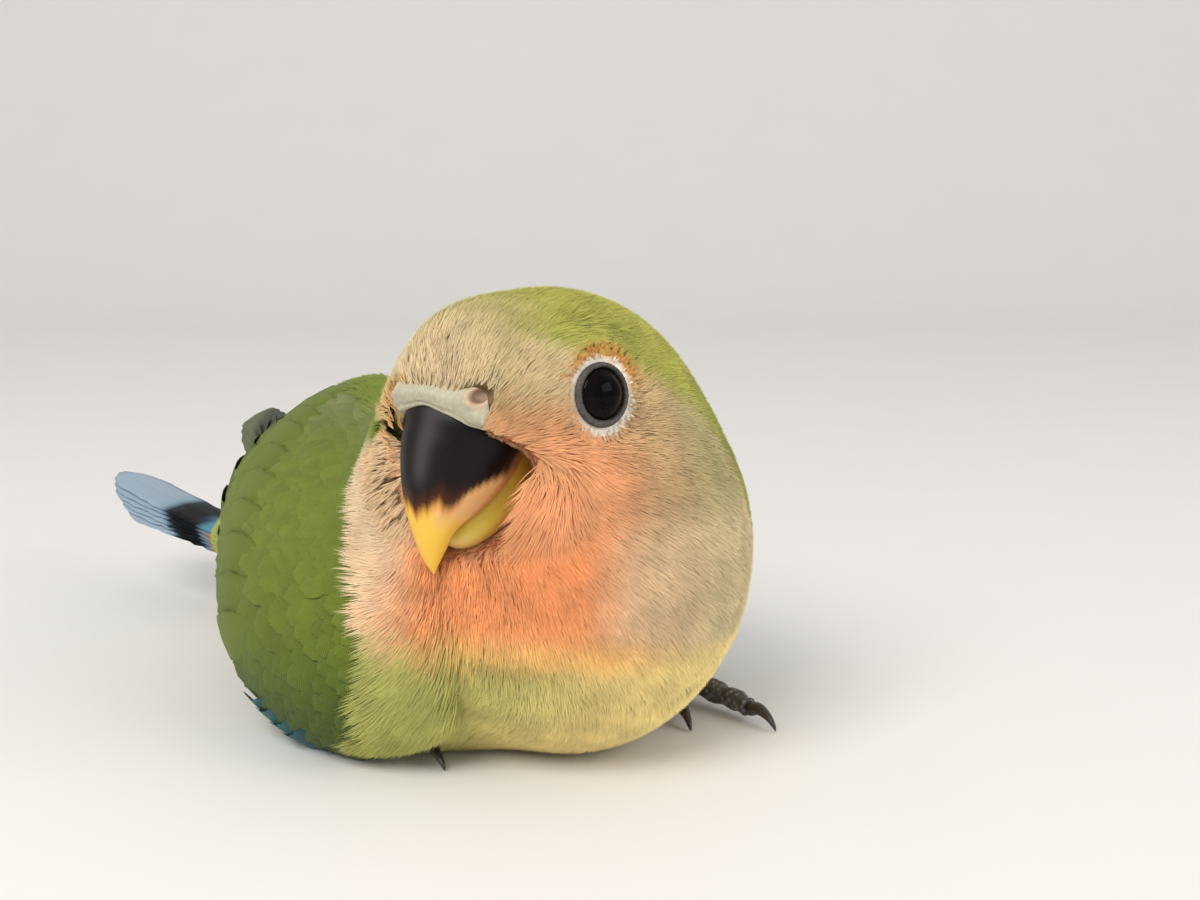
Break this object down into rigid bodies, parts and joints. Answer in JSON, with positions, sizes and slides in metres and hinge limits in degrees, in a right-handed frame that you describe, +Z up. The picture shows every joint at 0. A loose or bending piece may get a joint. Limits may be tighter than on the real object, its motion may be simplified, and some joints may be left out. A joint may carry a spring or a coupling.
{
  "type": "peach-faced lovebird",
  "caption": "Life-size still model of a young lovebird resting on its belly, head turned to its right, wings folded and tail closed.",
  "frame": {"origin": "in the flat under the middle of the belly, at floor level", "axes": "+Z up, -Y towards the breast, +Y towards the tail, +X the bird's own left; the head is turned 77 degrees to the bird's right, so the bill points mostly along -X"},
  "size_m": [0.0616, 0.1189, 0.0517],
  "materials": {
    "torso": "soft plumage",
    "neck": "soft plumage",
    "head": "soft plumage",
    "cere": "dry bare skin, satin",
    "bill_upper": "horn, satin gloss",
    "bill_lower": "horn, satin gloss",
    "eye": "wet gloss",
    "wing": "smooth feather vanes",
    "leg": "soft plumage",
    "foot": "scaly skin, matt",
    "tail": "smooth feather vanes",
    "claw": "horn, satin"
  },
  "bodies": {
    "root": {"torso": "torso", "neck": "neck", "head": "head", "cere": "cere", "bill_upper": "bill_upper", "bill_lower": "bill_lower", "eye_left": "eye", "eye_right": "eye", "wing_left": "wing", "wing_right": "wing", "leg_left": "leg", "leg_right": "leg", "foot_left": "foot", "foot_right": "foot", "tail": "tail", "claw_left_outer_front": "claw", "claw_left_inner_front": "claw", "claw_left_outer_rear": "claw", "claw_left_inner_rear": "claw", "claw_right_outer_front": "claw", "claw_right_inner_front": "claw", "claw_right_outer_rear": "claw", "claw_right_inner_rear": "claw"}
  },
  "joints": []
}
